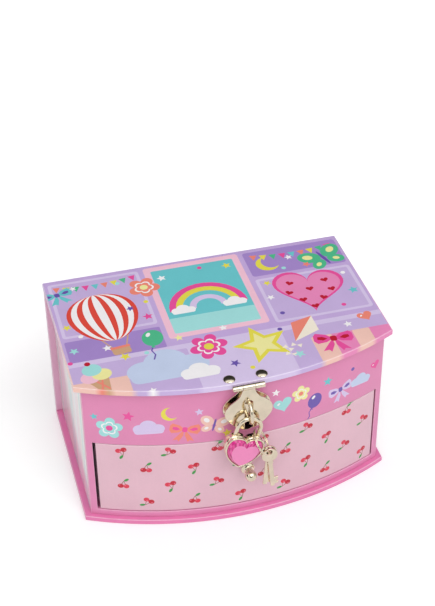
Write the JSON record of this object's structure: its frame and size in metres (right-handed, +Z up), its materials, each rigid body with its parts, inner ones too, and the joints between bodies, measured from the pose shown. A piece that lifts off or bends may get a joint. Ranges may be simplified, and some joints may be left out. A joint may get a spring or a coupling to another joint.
{
  "type": "musical jewellery box",
  "caption": "Bow-fronted musical jewellery box of covered board with a hinged mirror lid, a drawer, a hasp with heart padlock and keys, and a dancer that rises as the lid opens.",
  "frame": {"origin": "centre of the box's footprint extent, hardware and winding key included, on the surface it stands on", "axes": "+Z up, -Y towards the bowed front with the drawer, +X to the right of someone facing the front"},
  "size_m": [0.18, 0.152, 0.1004],
  "materials": {
    "lid_paper": "gloss printed paper on board, lilac with pale panels",
    "cover_paper": "gloss pink paper on board",
    "band_paper": "gloss pink printed paper on board",
    "drawer_paper": "gloss pale pink paper with scattered cherries",
    "side_paper": "gloss pale striped paper on board",
    "lining_paper": "matt mauve pink lining paper",
    "velvet": "flocked pink velvet",
    "gold_metal": "polished champagne gold plate",
    "steel": "bright steel",
    "movement_brass": "machined brass",
    "gem": "clear faceted pink acrylic",
    "mirror_glass": "silvered mirror",
    "figure_plastic": "painted moulded plastic",
    "tulle": "pleated pink tulle"
  },
  "bodies": {
    "case": {"base_board": "cover_paper", "back_board": "cover_paper", "side_wall_left": "side_paper", "side_wall_right": "side_paper", "front_panel": "band_paper", "body_back_wall": "lining_paper", "bay_partition": "lining_paper", "divider_floor": "velvet", "compartment_divider_left": "lining_paper", "compartment_divider_right": "lining_paper", "dancer_stage": "velvet", "ring_cushion": "velvet", "staple_plate": "gold_metal", "staple_eye": "gold_metal", "spindle_bush": "movement_brass", "dancer_spring": "steel", "bedplate": "movement_brass", "cylinder_bracket_left": "movement_brass", "cylinder_bracket_right": "movement_brass", "comb": "steel", "comb_riser": "movement_brass", "comb_screw_left": "steel", "comb_screw_right": "steel", "governor_frame": "movement_brass"},
    "lid": {"lid_board": "lid_paper", "lid_lining": "lining_paper", "mirror_frame": "gold_metal", "lid_mirror": "mirror_glass", "hasp_fixed_leaf": "gold_metal", "lid_rivet_left": "gold_metal", "lid_rivet_right": "gold_metal", "hasp_pin": "gold_metal"},
    "hasp": {"hasp_leaf": "gold_metal"},
    "drawer": {"drawer_front": "drawer_paper", "drawer_side_left": "lining_paper", "drawer_side_right": "lining_paper", "drawer_back": "lining_paper", "drawer_bottom": "velvet", "drawer_knob": "gold_metal", "knob_screw": "steel"},
    "shackle": {"padlock_shackle": "gold_metal"},
    "padlock": {"padlock_body": "gold_metal", "padlock_bezel": "gold_metal", "padlock_gem": "gem"},
    "ring": {"key_ring": "gold_metal"},
    "front_key": {"key_front": "gold_metal"},
    "back_key": {"key_back": "gold_metal"},
    "dancer_mount": {"dancer_cup": "movement_brass"},
    "dancer": {"dancer_figure": "figure_plastic", "dancer_skirt": "tulle"},
    "spindle": {"dancer_spindle": "movement_brass"},
    "barrel": {"spring_barrel": "movement_brass"},
    "winder": {"winding_arbor": "steel", "winding_key": "gold_metal"},
    "cylinder": {"pinned_cylinder": "movement_brass"},
    "governor": {"governor_fan": "steel"},
    "stop": {"stop_pin": "steel"}
  },
  "joints": [
    {"name": "lid_hinge", "type": "hinge", "parent": "case", "child": "lid", "pos_m": [0, 0.05835, 0.09575], "axis": [-1, 0, 0], "range_deg": [0, 100]},
    {"name": "hasp_swing", "type": "hinge", "parent": "lid", "child": "hasp", "pos_m": [0, -0.06295, 0.0973], "axis": [-1, 0, 0], "range_deg": [-40, 0]},
    {"name": "drawer_slide", "type": "slide", "parent": "case", "child": "drawer", "axis": [0, -1, 0], "range_m": [0, 0.042]},
    {"name": "padlock_lift", "type": "hinge", "parent": "case", "child": "shackle", "pos_m": [0.00116, -0.06635, 0.07756], "axis": [-1, 0, 0], "range_deg": [0, 100]},
    {"name": "padlock_release", "type": "slide", "parent": "shackle", "child": "padlock", "axis": [-0.2924, 0, -0.9563], "range_m": [0, 0.004]},
    {"name": "key_ring_swing", "type": "hinge", "parent": "padlock", "child": "ring", "pos_m": [0.00173, -0.06795, 0.06746], "axis": [0, 1, 0], "range_deg": [-4, 4]},
    {"name": "key_front_swing", "type": "hinge", "parent": "ring", "child": "front_key", "pos_m": [0.01, -0.06897, 0.05332], "axis": [0, 1, 0], "range_deg": [-15, 15]},
    {"name": "key_back_swing", "type": "hinge", "parent": "ring", "child": "back_key", "pos_m": [0.01045, -0.06694, 0.05362], "axis": [0, 1, 0], "range_deg": [-15, 2]},
    {"name": "dancer_fold", "type": "hinge", "parent": "case", "child": "dancer_mount", "pos_m": [0, 0.02943, 0.07745], "axis": [-1, 0, 0], "range_deg": [0, 90], "deforming": ["dancer_spring"]},
    {"name": "dancer_spin", "type": "hinge", "parent": "dancer_mount", "child": "dancer", "pos_m": [0, 0, 0.07936], "axis": [0, -1, 0], "continuous": true},
    {"name": "cylinder_spin", "type": "hinge", "parent": "case", "child": "cylinder", "pos_m": [0.01, 0.04185, 0.029], "axis": [1, 0, 0], "continuous": true},
    {"name": "spindle_spin", "type": "hinge", "parent": "case", "child": "spindle", "pos_m": [0, 0.03135, 0.06], "axis": [0, 0, 1], "continuous": true},
    {"name": "barrel_spin", "type": "hinge", "parent": "case", "child": "barrel", "pos_m": [-0.014, 0.044, 0.029], "axis": [0, 1, 0], "continuous": true},
    {"name": "governor_spin", "type": "hinge", "parent": "case", "child": "governor", "pos_m": [-0.014, 0.04505, 0.012], "axis": [0, 0, 1], "continuous": true},
    {"name": "key_wind", "type": "hinge", "parent": "case", "child": "winder", "pos_m": [-0.014, 0.06, 0.029], "axis": [0, 1, 0], "continuous": true},
    {"name": "stop_pin_rise", "type": "slide", "parent": "case", "child": "stop", "axis": [0, 0, 1], "range_m": [0, 0.003]}
  ],
  "couplings": [
    {"joint": "hasp_swing", "follows": "lid_hinge", "ratio": -0.4},
    {"joint": "dancer_fold", "follows": "lid_hinge", "ratio": 0.9},
    {"joint": "stop_pin_rise", "follows": "lid_hinge", "m_per_rad": 0.0017},
    {"joint": "padlock_lift", "follows": "drawer_slide", "rad_per_m": 41.5},
    {"joint": "spindle_spin", "follows": "barrel_spin", "ratio": -2},
    {"joint": "dancer_spin", "follows": "barrel_spin", "ratio": -2},
    {"joint": "cylinder_spin", "follows": "barrel_spin", "ratio": -1.3333},
    {"joint": "governor_spin", "follows": "barrel_spin", "ratio": -16}
  ]
}
